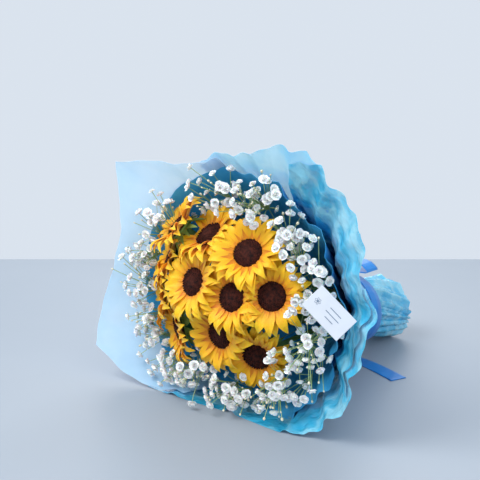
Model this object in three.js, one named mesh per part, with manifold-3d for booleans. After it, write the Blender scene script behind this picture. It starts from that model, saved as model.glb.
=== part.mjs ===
// A hand-tied bunch of sunflowers and baby's breath in wrapping sheets, lying on its side.
// Millimetres. The flowers face -Y, the cut stem ends point to +Y, and +Z is up.

import * as THREE from 'three';
import { mergeVertices } from 'three/addons/utils/BufferGeometryUtils.js';
import Module from 'manifold-3d';

const wasm = await Module();
wasm.setup();

// Centre line: the middle of the flowers, the binding and the end of the handle.
const domeCentre = new THREE.Vector3(-20, 0, 155);
const binding = new THREE.Vector3(-12, 285, 76);
const handleEnd = new THREE.Vector3(-44, 418, 44);

// Clearances between neighbours.
const touchGap = 0.3;
const layerGap = 1.6;
const openLayerGap = 5;
const cutGap = 0.6;

// Sunflower head.
const discRadius = 18;
const discHeight = 6;
const petalReach = 47;
const petalThickness = 1.6;
const petalNotch = 0.8;
const petalCup = 7;
const petalCount = 14;
const petalRootRadius = 12;
const calyxRadius = 20;
const calyxDepth = 12;
const calyxNeck = 0.7;
const calyxWaist = 0.8;
const calyxWaistDepth = 0.45;
const calyxLip = 1;
const discRimHeight = 2.4;
const discShoulder = 0.86;
const discShoulderDrop = 0.6;
const discCrown = 0.5;
const discDimple = 1.6;
const roomShoulderDrop = 3;
const petalRoomSides = 24;

// Stems.
const stemDiameter = 7.6;
const stemSides = 6;
const stemSteps = 12;
const roundSides = 18;
const stemEndY = 404;
const bundleReach = 3.57;
const stemFlare = 0.04;
const stemCurve = 1.3;
const stemAimStep = 20;
const stemSink = 0.6;
const stemFirstStep = 46;
const stemBendsFrontY = [150, 220];
const stemBendBackY = 350;

// Baby's breath.
const sprayStemDiameter = 2.6;
const twigDiameter = 1.5;
const bloomRadius = 5.2;
const bloomsPerSpray = 9;
const sprayStemEndY = 388;
const spraySides = 5;
const spraySteps = 9;
const sprayStemSetback = 8;
const sprayBendsFrontY = [70, 130, 200];
const sprayBendBackY = 340;
const sprayTurn = 2.4;
const sprayWidth = 36;
const sprayDepth = 0.5;
const sprayFall = 0.35;
const sprayForward = 6;
const twigSides = 3;
const twigSetback = 14;
const twigPitch = 7;
const twigLevels = 4;

// Wrapping sheets, counted outwards from the liner.
const sheetThickness = 1.2;
const wrapRadius = 150;
const wrapShoulderY = 60;
const neckFrontY = 270;
const sheetBackY = 304;
const sheetRowsY = [205, 140];
const columnAngle = 12;

// Handle film.
const handleFlare = 10.2;
const handleFilmFrontY = 274;
const handleFilmSteps = 4;

// Ribbon and tie.
const ribbonWidth = 25;
const ribbonThickness = 0.8;
const knotRadius = 9;
const knotStretch = new THREE.Vector3(1.2, 1.3, 1);
const knotSides = 12;
const knotAngle = 118;
const loopSteps = 18;
const upperLoop = [[11, 4], [30, 17], [56, 16], [67, 7], [50, 5], [28, 6]];
const farLoop = [[-11, -3], [-30, 0], [-52, -16], [-56, -30], [-44, -28], [-24, -15]];
const tailSteps = 3;
const tailZ = ribbonThickness;
const nearTailGap = 4.6;
const nearTailSag = 8.6;
const farTailGap = 11;
const farTailSag = 16.1;
const tieWidth = 8;
const tieThickness = 1.4;
const tieRadius = 33.6;
const tieGap = 0.8;

// Card.
const cardLength = 56;
const cardHeight = 32;
const cardThickness = 0.8;
const cardMiddle = new THREE.Vector3(163, 6, 164);
const cardAlong = new THREE.Vector3(60, 28, -64);
const cardDown = new THREE.Vector3(-30, -56, -76);

// At the binding the stems are drawn in to fit the tie, and outwards from the tie each layer clears
// the one inside it.
const stemGather = tieRadius / (bundleReach * petalReach);
const handleFilmRadius = tieRadius + tieThickness + tieGap;
const neckRadius = handleFilmRadius + sheetThickness + layerGap;
const sheetPitch = sheetThickness + layerGap;
const tableLayer = 2;
const outerLayer = 3;
const ribbonRadius = neckRadius + outerLayer * sheetPitch + sheetThickness + layerGap;

// Each head's middle: across and up from the middle of the flowers in petal reaches, and back in
// millimetres. The lean is how far it turns outwards, in degrees.
const heads = [
  { across: -1.53, up: 1.49, back: 24, lean: 34 },
  { across: -0.43, up: 1.4, back: 26, lean: 32 },
  { across: 1.06, up: 1.15, back: 20, lean: 14 },
  { across: -1.91, up: 0.51, back: 28, lean: 24 },
  { across: -0.47, up: 0.21, back: 0, lean: 0 },
  { across: -2.09, up: -0.55, back: 26, lean: 26 },
  { across: 0.79, up: 0, back: 6, lean: 0 },
  { across: 1.79, up: 0.13, back: 24, lean: 8 },
  { across: -1.49, up: -1.4, back: 22, lean: 22 },
  { across: 0.21, up: -1.15, back: 14, lean: 8 },
  { across: 1.11, up: -1.66, back: 34, lean: 22 },
];

// Each spray's angle round the flowers, its distance from their middle in petal reaches, and how far
// back its tip is in millimetres.
const sprays = [
  { angle: 18, reach: 3.02, back: 22 },
  { angle: 55, reach: 2.98, back: 24 },
  { angle: 90, reach: 2.6, back: 26 },
  { angle: 150, reach: 2.98, back: 22 },
  { angle: 188, reach: 3.06, back: 20 },
  { angle: 225, reach: 3.02, back: 16 },
  { angle: 262, reach: 2.47, back: 10 },
  { angle: 298, reach: 2.72, back: 12 },
  { angle: 337, reach: 3.02, back: 18 },
];

const materials = {
  petal: { color: 0xffbe00, roughness: 0.55 },
  disc: { color: 0x2a0d10, roughness: 0.95 },
  stem: { color: 0x6f9a4a, roughness: 0.7 },
  spray: { color: 0xf4f3ea, roughness: 0.8 },
  matte: { color: 0xa8d4f5, roughness: 0.9 },
  frosted: { color: 0x8cd2fa, roughness: 0.45 },
  pearl: { color: 0x7fd6ee, roughness: 0.3 },
  ribbon: { color: 0x1b8fd8, roughness: 0.35 },
  band: { color: 0xc9b98a, roughness: 0.8 },
  card: { color: 0xe6ebee, roughness: 0.6 },
};

const bunch = new THREE.Group();

function addPiece(name, geometry, materialName) {
  const material = new THREE.MeshStandardMaterial({ metalness: 0, ...materials[materialName] });
  const piece = new THREE.Mesh(geometry, material);
  piece.name = name;
  bunch.add(piece);
  return piece;
}

// Solids for cutting and joining.

function toSolid(geometry) {
  const bare = geometry.clone();
  bare.deleteAttribute('normal');
  bare.deleteAttribute('uv');
  const merged = mergeVertices(bare, 1e-4);
  const vertProperties = Float32Array.from(merged.attributes.position.array);
  const triVerts = Uint32Array.from(merged.index.array);
  return new wasm.Manifold(new wasm.Mesh({ numProp: 3, vertProperties, triVerts }));
}

function toGeometry(solid) {
  const mesh = solid.getMesh();
  const geometry = new THREE.BufferGeometry();
  geometry.setAttribute('position', new THREE.BufferAttribute(mesh.vertProperties, 3));
  geometry.setIndex(new THREE.BufferAttribute(mesh.triVerts, 1));
  return geometry;
}

function largestBody(solid) {
  const bodies = solid.decompose();
  return bodies.reduce((best, body) => (body.volume() > best.volume() ? body : best));
}

// Places on the centre line.

function centreAt(y) {
  const [from, to] = y < binding.y ? [domeCentre, binding] : [binding, handleEnd];
  const share = (y - from.y) / (to.y - from.y);
  return new THREE.Vector3(from.x + (to.x - from.x) * share, y, from.z + (to.z - from.z) * share);
}

function spreadAt(y) {
  if (y > binding.y) {
    return stemGather + (stemFlare * (y - binding.y)) / (handleEnd.y - binding.y);
  }
  const share = (binding.y - y) / (binding.y - domeCentre.y);
  return stemGather + (1 - stemGather) * share ** stemCurve;
}

function onSpread(offset, y) {
  const spread = spreadAt(y);
  return centreAt(y).add(new THREE.Vector3(offset.x * spread, 0, offset.z * spread));
}

// Round and tubular shapes.

function roundSection(radius, sides) {
  const corners = [];
  for (let i = 0; i < sides; i += 1) {
    const angle = (2 * Math.PI * i) / sides;
    corners.push(new THREE.Vector2(radius * Math.cos(angle), radius * Math.sin(angle)));
  }
  return new THREE.Shape(corners);
}

function tube(points, radius, sides, steps) {
  const path = points.length === 2 ? new THREE.LineCurve3(...points) : new THREE.CatmullRomCurve3(points);
  return new THREE.ExtrudeGeometry(roundSection(radius, sides), { steps, extrudePath: path });
}

function turned(profile, segments) {
  const lathe = new THREE.LatheGeometry(profile.map(([r, z]) => new THREE.Vector2(r, z)), segments);
  return lathe.rotateX(Math.PI / 2);
}

// A closed skin over a grid of points: rows of equal length, an outer and an inner surface.
function skin(outer, inner, closedRound) {
  const rows = outer.length;
  const columns = outer[0].length;
  const points = [...outer.flat(), ...inner.flat()];
  const faces = [];
  const at = (side, row, column) => side * rows * columns + row * columns + (column % columns);
  const quad = (a, b, c, d) => faces.push(a, b, c, a, c, d);
  const spans = closedRound ? columns : columns - 1;
  for (let row = 0; row < rows - 1; row += 1) {
    for (let column = 0; column < spans; column += 1) {
      const [next, below] = [column + 1, row + 1];
      quad(at(0, row, column), at(0, row, next), at(0, below, next), at(0, below, column));
      quad(at(1, row, column), at(1, below, column), at(1, below, next), at(1, row, next));
    }
  }
  const last = rows - 1;
  for (let column = 0; column < spans; column += 1) {
    const next = column + 1;
    quad(at(1, 0, column), at(1, 0, next), at(0, 0, next), at(0, 0, column));
    quad(at(0, last, column), at(0, last, next), at(1, last, next), at(1, last, column));
  }
  if (!closedRound) {
    for (let row = 0; row < last; row += 1) {
      quad(at(0, row, 0), at(0, row + 1, 0), at(1, row + 1, 0), at(1, row, 0));
      quad(at(1, row, spans), at(1, row + 1, spans), at(0, row + 1, spans), at(0, row, spans));
    }
  }
  const geometry = new THREE.BufferGeometry();
  const places = points.flatMap((point) => [point.x, point.y, point.z]);
  geometry.setAttribute('position', new THREE.Float32BufferAttribute(places, 3));
  geometry.setIndex(faces);
  return geometry;
}

// Sunflowers.

function headFrame({ across, up, back, lean }) {
  const middle = domeCentre.clone().add(new THREE.Vector3(across * petalReach, back, up * petalReach));
  const centre = centreAt(middle.y);
  const spread = spreadAt(middle.y);
  const offset = new THREE.Vector3((middle.x - centre.x) / spread, 0, (middle.z - centre.z) / spread);
  const behind = onSpread(offset, middle.y + stemAimStep);
  const alongStem = middle.clone().sub(behind).normalize();
  const outwards = new THREE.Vector3(across, 0, up).normalize();
  const leanAngle = THREE.MathUtils.degToRad(lean);
  const facing = alongStem.multiplyScalar(Math.cos(leanAngle));
  facing.addScaledVector(outwards, Math.sin(leanAngle)).normalize();
  const turn = new THREE.Quaternion().setFromUnitVectors(new THREE.Vector3(0, 0, 1), facing);
  const place = new THREE.Matrix4().compose(middle, turn, new THREE.Vector3(1, 1, 1));
  return { middle, offset, facing, place };
}

function petalRise(radius) {
  return petalCup * Math.max(0, (radius - calyxRadius) / (petalReach - calyxRadius));
}

function petalRing() {
  const radii = [petalRootRadius, calyxRadius, petalReach];
  const front = [];
  const back = [];
  radii.forEach((radius, row) => {
    front.push([]);
    back.push([]);
    for (let i = 0; i < petalCount * 2; i += 1) {
      const angle = (Math.PI * i) / petalCount;
      const notched = row === radii.length - 1 && i % 2 === 1;
      const reach = notched ? radius * petalNotch : radius;
      const x = reach * Math.cos(angle);
      const y = reach * Math.sin(angle);
      front[row].push(new THREE.Vector3(x, y, petalRise(reach) - touchGap));
      back[row].push(new THREE.Vector3(x, y, petalRise(reach) - touchGap - petalThickness));
    }
  });
  return skin(back, front, true);
}

function seedDisc() {
  const rim = [[0, 0], [discRadius, 0], [discRadius, discRimHeight]];
  const shoulder = [discRadius * discShoulder, discHeight - discShoulderDrop];
  const crown = [[discRadius * discCrown, discHeight], [0, discHeight - discDimple]];
  return turned([...rim, shoulder, ...crown], roundSides);
}

const calyxFrontZ = -petalThickness - 2 * touchGap;

function calyx() {
  const backZ = calyxFrontZ - calyxDepth;
  const neck = [[0, backZ], [stemDiameter * calyxNeck, backZ]];
  const waist = [calyxRadius * calyxWaist, calyxFrontZ - calyxDepth * calyxWaistDepth];
  const lip = [[calyxRadius, calyxFrontZ - calyxLip], [calyxRadius - calyxLip, calyxFrontZ]];
  return turned([...neck, waist, ...lip, [0, calyxFrontZ]], roundSides);
}

function stemPath(frame) {
  const neck = frame.middle.clone().addScaledVector(frame.facing, calyxFrontZ - calyxDepth * stemSink);
  const bends = [frame.middle.y + stemFirstStep, ...stemBendsFrontY, binding.y, stemBendBackY, stemEndY];
  return [neck, ...bends.map((y) => onSpread(frame.offset, y))];
}

function stemSolid(frame, extra) {
  const stalk = toSolid(tube(stemPath(frame), stemDiameter / 2 + extra, stemSides, stemSteps));
  return stalk.add(toSolid(calyx().applyMatrix4(frame.place)));
}

// The room one head needs, with a margin: its middle with stem, and its ring of petals.
function coreRoom(frame) {
  const front = discHeight + 2 * cutGap;
  const behind = calyxFrontZ - calyxDepth - cutGap;
  const wide = calyxRadius + cutGap;
  const back = [[0, behind], [wide * calyxWaist, behind], [wide, calyxFrontZ]];
  const outline = [...back, [wide, front - roomShoulderDrop], [wide * discShoulder, front], [0, front]];
  const middle = turned(outline, roundSides);
  const stalk = tube(stemPath(frame), stemDiameter / 2 + cutGap, stemSides, stemSteps);
  return toSolid(middle.applyMatrix4(frame.place)).add(toSolid(stalk));
}

function petalRoom(frame) {
  const rim = petalReach + cutGap;
  const low = -touchGap - petalThickness - cutGap;
  const high = cutGap;
  const back = [[0, low], [calyxRadius, low], [rim, petalCup + low]];
  const outline = [...back, [rim, petalCup + high], [calyxRadius, high], [0, high]];
  return toSolid(turned(outline, petalRoomSides).applyMatrix4(frame.place));
}

const frames = heads.map(headFrame);
const coreRooms = frames.map(coreRoom);
const petalRooms = frames.map(petalRoom);

function sprayOffset({ angle, reach }) {
  const turn = THREE.MathUtils.degToRad(angle);
  return new THREE.Vector3(Math.cos(turn), 0, Math.sin(turn)).multiplyScalar(reach * petalReach);
}

function sprayStemPath(spray, lastY) {
  const offset = sprayOffset(spray);
  const bends = [lastY, ...sprayBendsFrontY, binding.y, sprayBendBackY, sprayStemEndY];
  return bends.map((y) => onSpread(offset, y));
}

function sprayStem(spray, extra) {
  const path = sprayStemPath(spray, spray.back + sprayStemSetback);
  return toSolid(tube(path, sprayStemDiameter / 2 + extra, spraySides, spraySteps));
}

const sprayRooms = sprays.map((spray) => sprayStem(spray, cutGap));

function addSunflowers() {
  const frontFirst = frames.map((_, i) => i).sort((a, b) => heads[a].back - heads[b].back);
  frontFirst.forEach((index, order) => {
    const frame = frames[index];
    const label = `flower_${String(index + 1).padStart(2, '0')}`;
    let ring = toSolid(petalRing().applyMatrix4(frame.place));
    coreRooms.forEach((room, other) => {
      ring = other === index ? ring : ring.subtract(room);
    });
    frontFirst.slice(0, order).forEach((other) => {
      ring = ring.subtract(petalRooms[other]);
    });
    sprayRooms.forEach((room) => {
      ring = ring.subtract(room);
    });
    addPiece(`${label}_petals`, toGeometry(largestBody(ring)), 'petal');
    addPiece(`${label}_seed_disc`, seedDisc().applyMatrix4(frame.place), 'disc');
    addPiece(`${label}_stem`, toGeometry(stemSolid(frame, 0)), 'stem');
  });
}

// Baby's breath: a stem, twigs that leave it near the front, and a round bloom on each twig.

function bloomPlaces(spray) {
  const tip = onSpread(sprayOffset(spray), spray.back);
  const turn = THREE.MathUtils.degToRad(spray.angle);
  const outwards = new THREE.Vector3(Math.cos(turn), 0, Math.sin(turn));
  const sideways = new THREE.Vector3(-Math.sin(turn), 0, Math.cos(turn));
  const places = [];
  for (let i = 0; i < bloomsPerSpray; i += 1) {
    const round = i * sprayTurn;
    const wide = sprayWidth * Math.sqrt(i / bloomsPerSpray);
    const place = tip.clone();
    place.addScaledVector(sideways, wide * Math.cos(round));
    place.addScaledVector(outwards, sprayDepth * wide * Math.sin(round));
    place.y += sprayFall * wide - sprayForward;
    places.push(place);
  }
  return places;
}

// Petals give way to a spray's stem, and its twigs and blooms stop where a flower is.
function spraySolid(spray) {
  const offset = sprayOffset(spray);
  const rooms = [...coreRooms, ...petalRooms];
  return bloomPlaces(spray).reduce((solid, place, i) => {
    const root = onSpread(offset, spray.back + twigSetback + twigPitch * (i % twigLevels));
    const bloom = new THREE.IcosahedronGeometry(bloomRadius, 0).translate(place.x, place.y, place.z);
    const twig = toSolid(tube([root, place], twigDiameter / 2, twigSides, 1)).add(toSolid(bloom));
    return solid.add(rooms.reduce((rest, room) => rest.subtract(room), twig));
  }, sprayStem(spray, 0));
}

function addSprays() {
  sprays.forEach((spray, i) => {
    addPiece(`babys_breath_${i + 1}`, toGeometry(largestBody(spraySolid(spray))), 'spray');
  });
}

// Wrapping sheets. Each is a stretch of the same cone, one layer out from the next, and turned out
// to its own front edge. Where it would sink into the table it lies flat on it.

// How far the cone turns outwards in front of its shoulder, by angle.
const turnOut = [[0, 1.65], [26, 1.9], [44, 2], [54, 1.8], [66, 1.3], [84, 0.6], [108, 0.5], [120, 0.8],
  [139, 1.2], [165, 0.8], [209, 1.05], [232, 0.8], [282, 1], [300, 1.3], [322, 1.1], [345, 1.4], [360, 1.65]];

// Each sheet's front edge: angle and place.
const linerEdge = [[0, 60], [90, 64], [180, 62], [270, 60], [360, 60]];
const leftEdge = [[96, 38], [120, 30], [139, 5], [162, 24], [186, 14], [209, -10], [232, 8], [252, 16]];
const rightEdge = [[-24, 24], [0, 28], [12, 26], [26, 12], [36, 24], [48, 18], [60, 30]];
const topEdge = [[36, 34], [54, 18], [66, 28], [90, 34], [108, 42]];
const lowerEdge = [[232, 12], [252, 10], [276, 16], [300, 8], [318, 20], [345, 18], [372, 26]];
const neckPanelEdge = [[-48, 128], [0, 104], [48, 108], [84, 132]];

const outlines = [linerEdge, leftEdge, rightEdge, topEdge, lowerEdge, neckPanelEdge];

function along(outline, angle) {
  const last = outline.length - 1;
  const next = Math.min(last, Math.max(1, outline.findIndex((point) => point[0] >= angle)));
  const [from, to] = [outline[next - 1], outline[next]];
  const share = THREE.MathUtils.clamp((angle - from[0]) / (to[0] - from[0]), 0, 1);
  return from[1] + (to[1] - from[1]) * share;
}

function openness(y) {
  return THREE.MathUtils.clamp((neckFrontY - y) / (neckFrontY - wrapShoulderY), 0, 1);
}

function coneRadius(angle, y) {
  const flare = along(turnOut, (angle + 360) % 360) * Math.max(0, wrapShoulderY - y);
  return neckRadius + (wrapRadius - neckRadius) * openness(y) + flare;
}

// How far a layer lies outside the liner: close at the neck, looser where the wrap is open.
function layerShift(layer, y) {
  return layer * (sheetPitch + (openLayerGap - layerGap) * openness(y));
}

function sheetPoint(angle, y, radius, lowest) {
  const turn = THREE.MathUtils.degToRad(angle);
  const centre = centreAt(y);
  const z = Math.max(lowest, centre.z + radius * Math.sin(turn));
  return new THREE.Vector3(centre.x + radius * Math.cos(turn), y, z);
}

// Every sheet has its columns at the same angles, so that the layers stay parallel: one on each
// corner of each outline, and evenly spaced ones between.
function columnAngles() {
  const corners = [...new Set(outlines.flat().map(([angle]) => (angle + 360) % 360))];
  corners.sort((one, other) => one - other);
  return corners.flatMap((from, i) => {
    const to = i + 1 < corners.length ? corners[i + 1] : 360;
    const spans = Math.ceil((to - from) / columnAngle);
    return Array.from({ length: spans }, (_, span) => from + ((to - from) * span) / spans);
  });
}

const columns = columnAngles();

function anglesOf(outline, closedRound) {
  const first = outline[0][0];
  const last = outline[outline.length - 1][0];
  const inside = (angle) => angle >= first && (closedRound ? angle < last : angle <= last);
  return [-360, 0, 360].flatMap((turn) => columns.map((angle) => angle + turn)).filter(inside);
}

function sheet(outline, layer, closedRound) {
  const lowest = Math.max(0, tableLayer - layer) * sheetPitch;
  const angles = anglesOf(outline, closedRound);
  const edgeY = (angle) => along(outline, angle);
  const rowYs = [sheetBackY, binding.y, neckFrontY, ...sheetRowsY, wrapShoulderY];
  const places = rowYs.map((y) => (angle) => Math.max(y, edgeY(angle)));
  const rows = places.filter((placeY) => placeY(angles[0]) > edgeY(angles[0]));
  rows.push(edgeY);
  const surface = (extra) => rows.map((rowY) => angles.map((angle) => {
    const y = rowY(angle);
    const radius = coneRadius(angle, y) + layerShift(layer, y) + extra;
    return sheetPoint(angle, y, radius, lowest + sheetThickness - extra);
  }));
  return skin(surface(sheetThickness), surface(0), closedRound);
}

function handleFilm() {
  const angles = anglesOf([[0], [360]], true);
  const ys = [];
  for (let i = 0; i <= handleFilmSteps; i += 1) {
    ys.push(handleEnd.y + ((binding.y - handleEnd.y) * i) / handleFilmSteps);
  }
  ys.push(handleFilmFrontY);
  const flareLength = handleEnd.y - sheetBackY;
  const radiusAt = (y) => handleFilmRadius + (handleFlare * Math.max(0, y - sheetBackY)) / flareLength;
  const surface = (extra) => ys.map((y) => angles.map((angle) => (
    sheetPoint(angle, y, radiusAt(y) + extra, sheetThickness - extra))));
  return skin(surface(sheetThickness), surface(0), true);
}

function addWraps() {
  addPiece('liner_sheet', sheet(linerEdge, 0, true), 'matte');
  addPiece('left_matte_sheet', sheet(leftEdge, 1, false), 'matte');
  addPiece('right_pearl_film', sheet(rightEdge, 1, false), 'pearl');
  addPiece('top_frosted_sheet', sheet(topEdge, 2, false), 'frosted');
  addPiece('lower_pearl_film', sheet(lowerEdge, 2, false), 'pearl');
  addPiece('neck_matte_sheet', sheet(neckPanelEdge, 3, false), 'matte');
  addPiece('handle_pearl_film', handleFilm(), 'pearl');
}

// Ribbon round the neck with a bow on its far side. Its tails end on the table.

function besideNeck(angle, gap) {
  const turn = THREE.MathUtils.degToRad(angle);
  const distance = ribbonRadius + ribbonThickness + gap;
  return [binding.x + distance * Math.cos(turn), binding.y, binding.z + distance * Math.sin(turn)];
}

const nearTail = [
  { at: besideNeck(134, nearTailGap), wide: [0, 1, 0] },
  { at: besideNeck(160, nearTailGap), wide: [0, 1, 0] },
  { at: besideNeck(186, nearTailGap), wide: [0, 1, 0] },
  { at: besideNeck(214, nearTailSag), wide: [0, 1, 0] },
  { at: [binding.x - 46, binding.y + 1, 12], wide: [0, 1, 0] },
  { at: [binding.x - 26, binding.y + 2, tailZ], wide: [0, 1, 0] },
  { at: [binding.x + 22, binding.y + 1, tailZ], wide: [0.1, 1, 0] },
  { at: [binding.x + 62, binding.y - 10, tailZ], wide: [0.3, 1, 0] },
  { at: [binding.x + 104, binding.y - 26, tailZ], wide: [0.35, 1, 0] },
];

const farTail = [
  { at: besideNeck(139, farTailGap), wide: [0, 1, 0] },
  { at: besideNeck(162, farTailGap), wide: [0, 1, 0] },
  { at: besideNeck(184, farTailSag), wide: [0, 1, 0] },
  { at: [binding.x - 78, binding.y + 3, 42], wide: [0, 1, 0] },
  { at: [binding.x - 92, binding.y + 6, 12], wide: [0, 1, 0] },
  { at: [binding.x - 112, binding.y + 10, tailZ], wide: [0.1, 1, 0] },
  { at: [binding.x - 160, binding.y + 22, tailZ], wide: [0.3, 1, 0] },
];

function ring(radius, thickness, width) {
  const angles = anglesOf([[0], [360]], true);
  const ys = [binding.y + width / 2, binding.y, binding.y - width / 2];
  const surface = (extra) => ys.map((y) => angles.map((angle) => sheetPoint(angle, y, radius + extra, 0)));
  return skin(surface(thickness), surface(0), true);
}

// A strip of ribbon along a path given by its middle, with the direction of its width at each point.
function strip(stations) {
  const middle = stations.map(({ at }) => new THREE.Vector3(...at));
  const path = new THREE.CatmullRomCurve3(middle);
  const steps = (stations.length - 1) * tailSteps;
  const front = [];
  const back = [];
  for (let i = 0; i <= steps; i += 1) {
    const share = i / steps;
    const place = share * (stations.length - 1);
    const first = Math.min(stations.length - 2, Math.floor(place));
    const wide = new THREE.Vector3(...stations[first].wide);
    wide.lerp(new THREE.Vector3(...stations[first + 1].wide), place - first).normalize();
    const onPath = path.getPoint(share);
    onPath.z = Math.max(onPath.z, tailZ);
    const normal = path.getTangent(share).cross(wide).normalize();
    const edge = (side, extra) => onPath.clone().addScaledVector(wide, (side * ribbonWidth) / 2)
      .addScaledVector(normal, extra);
    front.push([edge(1, ribbonThickness / 2), edge(-1, ribbonThickness / 2)]);
    back.push([edge(1, -ribbonThickness / 2), edge(-1, -ribbonThickness / 2)]);
  }
  return skin(front, back, false);
}

function bowLoop(points) {
  const outline = new THREE.CatmullRomCurve3(points.map(([x, z]) => new THREE.Vector3(x, 0, z)), true);
  const surface = (extra) => [ribbonWidth / 2, -ribbonWidth / 2].map((y) => {
    const row = [];
    for (let i = 0; i < loopSteps; i += 1) {
      const along = outline.getTangent(i / loopSteps);
      const normal = new THREE.Vector3(along.z, 0, -along.x);
      row.push(outline.getPoint(i / loopSteps).addScaledVector(normal, extra).setY(y));
    }
    return row;
  });
  return skin(surface(ribbonThickness / 2), surface(-ribbonThickness / 2), true);
}

function addRibbon() {
  const turn = THREE.MathUtils.degToRad(knotAngle);
  const outwards = new THREE.Vector3(Math.cos(turn), 0, Math.sin(turn));
  const knotDistance = ribbonRadius + ribbonThickness + layerGap + knotRadius;
  const knot = binding.clone().addScaledVector(outwards, knotDistance);
  const knotShape = new THREE.SphereGeometry(knotRadius, knotSides, knotSides).scale(...knotStretch);
  knotShape.rotateY(-turn + Math.PI / 2);
  addPiece('ribbon_band', ring(ribbonRadius, ribbonThickness, ribbonWidth), 'ribbon');
  addPiece('ribbon_knot', knotShape.translate(knot.x, knot.y, knot.z), 'ribbon');
  const placed = (geometry) => geometry.translate(knot.x, knot.y, knot.z);
  addPiece('ribbon_loop_upper', placed(bowLoop(upperLoop)), 'ribbon');
  addPiece('ribbon_loop_far', placed(bowLoop(farLoop)), 'ribbon');
  addPiece('ribbon_tail_near', strip(nearTail), 'ribbon');
  addPiece('ribbon_tail_far', strip(farTail), 'ribbon');
}

// A plain rubber band round the stems.
function addTie() {
  addPiece('stem_tie', ring(tieRadius, tieThickness, tieWidth), 'band');
}

function cardFrame() {
  const along = cardAlong.clone().normalize();
  const facing = along.clone().cross(cardDown).normalize();
  const turn = new THREE.Matrix4().makeBasis(along, facing.clone().cross(along), facing);
  return turn.setPosition(cardMiddle);
}

function addCard() {
  const card = new THREE.BoxGeometry(cardLength, cardHeight, cardThickness);
  addPiece('message_card', card.applyMatrix4(cardFrame()), 'card');
}

addSunflowers();
addSprays();
addWraps();
addRibbon();
addTie();
addCard();

// The origin is the middle of the underside of the whole bunch.
const box = new THREE.Box3().setFromObject(bunch);
const middle = box.getCenter(new THREE.Vector3());
bunch.position.set(-middle.x, -middle.y, -box.min.z);

export default bunch;
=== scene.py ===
import math
import random

import bmesh
import bpy
import numpy as np
from mathutils import Matrix, Vector
from mathutils.bvhtree import BVHTree


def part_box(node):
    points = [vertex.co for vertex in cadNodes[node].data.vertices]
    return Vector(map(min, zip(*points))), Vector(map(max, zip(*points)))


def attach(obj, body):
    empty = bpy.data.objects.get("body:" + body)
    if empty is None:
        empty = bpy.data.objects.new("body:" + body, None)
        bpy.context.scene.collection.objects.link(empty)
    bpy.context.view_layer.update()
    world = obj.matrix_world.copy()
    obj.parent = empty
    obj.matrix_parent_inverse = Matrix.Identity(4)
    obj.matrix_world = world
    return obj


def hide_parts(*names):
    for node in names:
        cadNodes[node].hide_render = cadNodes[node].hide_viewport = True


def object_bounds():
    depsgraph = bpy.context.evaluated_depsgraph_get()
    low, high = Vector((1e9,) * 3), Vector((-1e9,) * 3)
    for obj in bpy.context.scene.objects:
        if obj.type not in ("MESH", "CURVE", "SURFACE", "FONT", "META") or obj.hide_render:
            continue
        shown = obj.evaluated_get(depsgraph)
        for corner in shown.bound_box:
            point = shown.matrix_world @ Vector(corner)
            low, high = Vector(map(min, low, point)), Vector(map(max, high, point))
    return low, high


randomSeed = 11
random.seed(randomSeed)

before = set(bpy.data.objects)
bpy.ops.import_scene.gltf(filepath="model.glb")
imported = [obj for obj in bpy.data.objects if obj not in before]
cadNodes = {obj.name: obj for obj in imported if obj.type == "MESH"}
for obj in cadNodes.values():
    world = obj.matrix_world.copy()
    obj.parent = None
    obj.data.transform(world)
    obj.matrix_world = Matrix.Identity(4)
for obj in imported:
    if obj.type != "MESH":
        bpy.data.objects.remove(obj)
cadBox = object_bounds()
bpy.context.scene.view_settings.view_transform = "Standard"


# small helpers

weldGap = 0.00002
quadAngle = math.radians(50)


def deselectAll():
    if bpy.context.mode != "OBJECT":
        bpy.ops.object.mode_set(mode="OBJECT")
    bpy.ops.object.select_all(action="DESELECT")


def makeActive(piece):
    deselectAll()
    piece.select_set(True)
    bpy.context.view_layer.objects.active = piece


def editPiece(piece):
    makeActive(piece)
    bpy.ops.object.mode_set(mode="EDIT")
    bpy.ops.mesh.select_mode(type="VERT")


def leaveEdit():
    bpy.ops.object.mode_set(mode="OBJECT")


def pickVerts(test):
    mesh = bmesh.from_edit_mesh(bpy.context.object.data)
    for vert in mesh.verts:
        vert.select_set(bool(test(vert.co)))
    mesh.select_flush_mode()
    bmesh.update_edit_mesh(bpy.context.object.data)


def applyModifiers(piece):
    makeActive(piece)
    for modifier in list(piece.modifiers):
        bpy.ops.object.modifier_apply(modifier=modifier.name)


def copyPiece(piece, name, place=None):
    made = piece.copy()
    made.data = piece.data.copy()
    made.name = name
    made.data.name = name
    bpy.context.scene.collection.objects.link(made)
    if place is not None:
        made.data.transform(place)
    return made


def joinPieces(pieces, name):
    deselectAll()
    for piece in pieces:
        piece.select_set(True)
    bpy.context.view_layer.objects.active = pieces[0]
    if len(pieces) > 1:
        bpy.ops.object.join()
    pieces[0].name = name
    pieces[0].data.name = name
    return pieces[0]


def discard(piece):
    bpy.data.objects.remove(piece, do_unlink=True)


def smoothShade(piece, angle):
    makeActive(piece)
    bpy.ops.object.shade_smooth_by_angle(angle=math.radians(angle))


def nodeVerts(name):
    return np.array([v.co for v in cadNodes[name].data.vertices], float)


def cadCopy(nodeName, name):
    made = copyPiece(cadNodes[nodeName], name)
    for key in list(made.keys()):
        del made[key]
    made.parent = None
    made.matrix_world = Matrix.Identity(4)
    made.data.materials.clear()
    editPiece(made)
    bpy.ops.mesh.select_all(action="SELECT")
    bpy.ops.mesh.remove_doubles(threshold=weldGap)
    bpy.ops.mesh.tris_convert_to_quads(face_threshold=quadAngle, shape_threshold=quadAngle)
    leaveEdit()
    return made


def finishPiece(piece, material, slotName, *replaced):
    piece.data.materials.clear()
    piece.data.materials.append(material)
    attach(piece, "root")
    if replaced:
        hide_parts(*replaced)


# materials

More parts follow.
